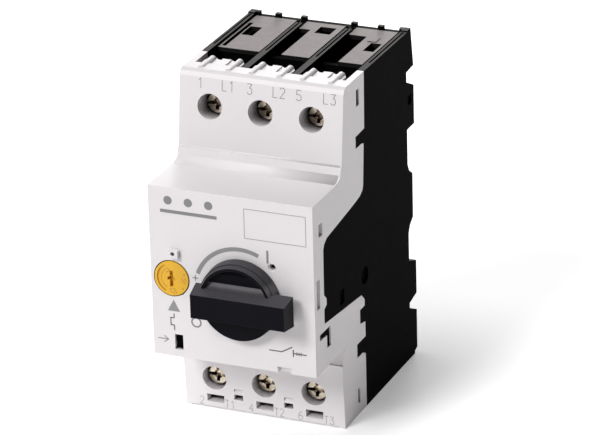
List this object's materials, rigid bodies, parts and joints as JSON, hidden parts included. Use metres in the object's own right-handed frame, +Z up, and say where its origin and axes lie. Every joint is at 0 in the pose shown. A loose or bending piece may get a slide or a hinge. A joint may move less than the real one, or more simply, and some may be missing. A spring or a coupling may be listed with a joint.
{
  "type": "motor protection breaker",
  "caption": "Rail-mounted motor protection breaker with rotary knob, yellow setting dial, screw terminals above and below and stepped grey nose on a black base.",
  "frame": {"origin": "middle of the bottom of the whole part's box", "axes": "+Z up along the housing's height, +X to the right seen from the front, front and knob towards -Y, rail side towards +Y"},
  "size_m": [0.045, 0.077, 0.093],
  "materials": {
    "housing_black": "fine matt black moulding",
    "cover_grey": "satin light grey moulding",
    "vent_grey": "matt mid grey",
    "knob_black": "semi-gloss black moulding",
    "dial_yellow": "satin yellow moulding",
    "slide_black": "matt black moulding",
    "trip_natural": "natural nylon",
    "carrier_brown": "thermoset, dull brown",
    "screw_nickel": "nickel plated with a warm tint",
    "clamp_zinc": "zinc plated",
    "rail_copper": "tinned copper, silver contact tips",
    "coil_copper": "enamelled copper wire",
    "yoke_steel": "zinc plated iron",
    "bimetal_steel": "bare two-metal strip",
    "heater_sleeve": "glass sleeve with heater turns",
    "chute_steel": "steel plates in fibre cheeks",
    "spring_steel": "bright spring wire"
  },
  "bodies": {
    "housing": {"base_housing": "housing_black", "front_cover": "cover_grey", "switch_lock": "carrier_brown", "upper_vent_plate_1": "vent_grey", "upper_vent_plate_2": "vent_grey", "upper_vent_plate_3": "vent_grey", "lower_vent_plate_1": "vent_grey", "lower_vent_plate_2": "vent_grey", "lower_vent_plate_3": "vent_grey", "line_rail_1": "rail_copper", "line_rail_2": "rail_copper", "line_rail_3": "rail_copper", "load_rail_1": "rail_copper", "load_rail_2": "rail_copper", "load_rail_3": "rail_copper", "bimetal_1": "bimetal_steel", "bimetal_2": "bimetal_steel", "bimetal_3": "bimetal_steel", "heater_1": "heater_sleeve", "heater_2": "heater_sleeve", "heater_3": "heater_sleeve", "magnet_yoke_1": "yoke_steel", "magnet_yoke_2": "yoke_steel", "magnet_yoke_3": "yoke_steel", "trip_coil_1": "coil_copper", "trip_coil_2": "coil_copper", "trip_coil_3": "coil_copper", "upper_arc_chute_1": "chute_steel", "upper_arc_chute_2": "chute_steel", "upper_arc_chute_3": "chute_steel", "lower_arc_chute_1": "chute_steel", "lower_arc_chute_2": "chute_steel", "lower_arc_chute_3": "chute_steel"},
    "rotary_knob": {"knob": "knob_black"},
    "contact_slide": {"contact_carrier": "carrier_brown", "contact_bridge_1": "rail_copper", "contact_bridge_2": "rail_copper", "contact_bridge_3": "rail_copper", "contact_spring_1": "spring_steel", "contact_spring_2": "spring_steel", "contact_spring_3": "spring_steel"},
    "current_dial": {"setting_dial": "dial_yellow"},
    "test_button": {"test_slide": "slide_black"},
    "rail_catch": {"rail_clip": "slide_black"},
    "trip_bar": {"trip_slide": "trip_natural"},
    "upper_terminal_1": {"upper_screw_1": "screw_nickel", "upper_clamp_1": "clamp_zinc"},
    "lower_terminal_1": {"lower_screw_1": "screw_nickel", "lower_clamp_1": "clamp_zinc"},
    "magnet_plunger_1": {"plunger_1": "yoke_steel"},
    "upper_terminal_2": {"upper_screw_2": "screw_nickel", "upper_clamp_2": "clamp_zinc"},
    "lower_terminal_2": {"lower_screw_2": "screw_nickel", "lower_clamp_2": "clamp_zinc"},
    "magnet_plunger_2": {"plunger_2": "yoke_steel"},
    "upper_terminal_3": {"upper_screw_3": "screw_nickel", "upper_clamp_3": "clamp_zinc"},
    "lower_terminal_3": {"lower_screw_3": "screw_nickel", "lower_clamp_3": "clamp_zinc"},
    "magnet_plunger_3": {"plunger_3": "yoke_steel"}
  },
  "joints": [
    {"name": "knob_turn", "type": "hinge", "parent": "housing", "child": "rotary_knob", "pos_m": [0.00265, -0.0335, 0.0416], "axis": [0, 1, 0], "range_deg": [0, 90]},
    {"name": "contact_close", "type": "slide", "parent": "housing", "child": "contact_slide", "axis": [0, -1, 0], "range_m": [0, 0.0036]},
    {"name": "dial_turn", "type": "hinge", "parent": "housing", "child": "current_dial", "pos_m": [-0.01675, -0.0295, 0.0442], "axis": [0, -1, 0], "range_deg": [-120, 120]},
    {"name": "test_push", "type": "slide", "parent": "housing", "child": "test_button", "axis": [0, 1, 0], "range_m": [0, 0.0015], "stiffness_N_per_m": 100, "springref_m": -0.001},
    {"name": "catch_pull", "type": "slide", "parent": "housing", "child": "rail_catch", "axis": [0, 0, -1], "range_m": [0, 0.0022], "stiffness_N_per_m": 800, "springref_m": -0.002},
    {"name": "trip_shift", "type": "slide", "parent": "housing", "child": "trip_bar", "axis": [-1, 0, 0], "range_m": [0, 0.0015], "stiffness_N_per_m": 80, "springref_m": -0.001},
    {"name": "upper_terminal_1_tighten", "type": "slide", "parent": "housing", "child": "upper_terminal_1", "axis": [0, 1, 0], "range_m": [0, 0.004]},
    {"name": "lower_terminal_1_tighten", "type": "slide", "parent": "housing", "child": "lower_terminal_1", "axis": [0, 1, 0], "range_m": [0, 0.004]},
    {"name": "plunger_1_stroke", "type": "slide", "parent": "housing", "child": "magnet_plunger_1", "axis": [0, 1, 0], "range_m": [0, 0.0018], "stiffness_N_per_m": 60, "springref_m": -0.002},
    {"name": "upper_terminal_2_tighten", "type": "slide", "parent": "housing", "child": "upper_terminal_2", "axis": [0, 1, 0], "range_m": [0, 0.004]},
    {"name": "lower_terminal_2_tighten", "type": "slide", "parent": "housing", "child": "lower_terminal_2", "axis": [0, 1, 0], "range_m": [0, 0.004]},
    {"name": "plunger_2_stroke", "type": "slide", "parent": "housing", "child": "magnet_plunger_2", "axis": [0, 1, 0], "range_m": [0, 0.0018], "stiffness_N_per_m": 60, "springref_m": -0.002},
    {"name": "upper_terminal_3_tighten", "type": "slide", "parent": "housing", "child": "upper_terminal_3", "axis": [0, 1, 0], "range_m": [0, 0.004]},
    {"name": "lower_terminal_3_tighten", "type": "slide", "parent": "housing", "child": "lower_terminal_3", "axis": [0, 1, 0], "range_m": [0, 0.004]},
    {"name": "plunger_3_stroke", "type": "slide", "parent": "housing", "child": "magnet_plunger_3", "axis": [0, 1, 0], "range_m": [0, 0.0018], "stiffness_N_per_m": 60, "springref_m": -0.002}
  ],
  "couplings": [
    {"joint": "knob_turn", "follows": "contact_close", "rad_per_m": 436.3}
  ]
}
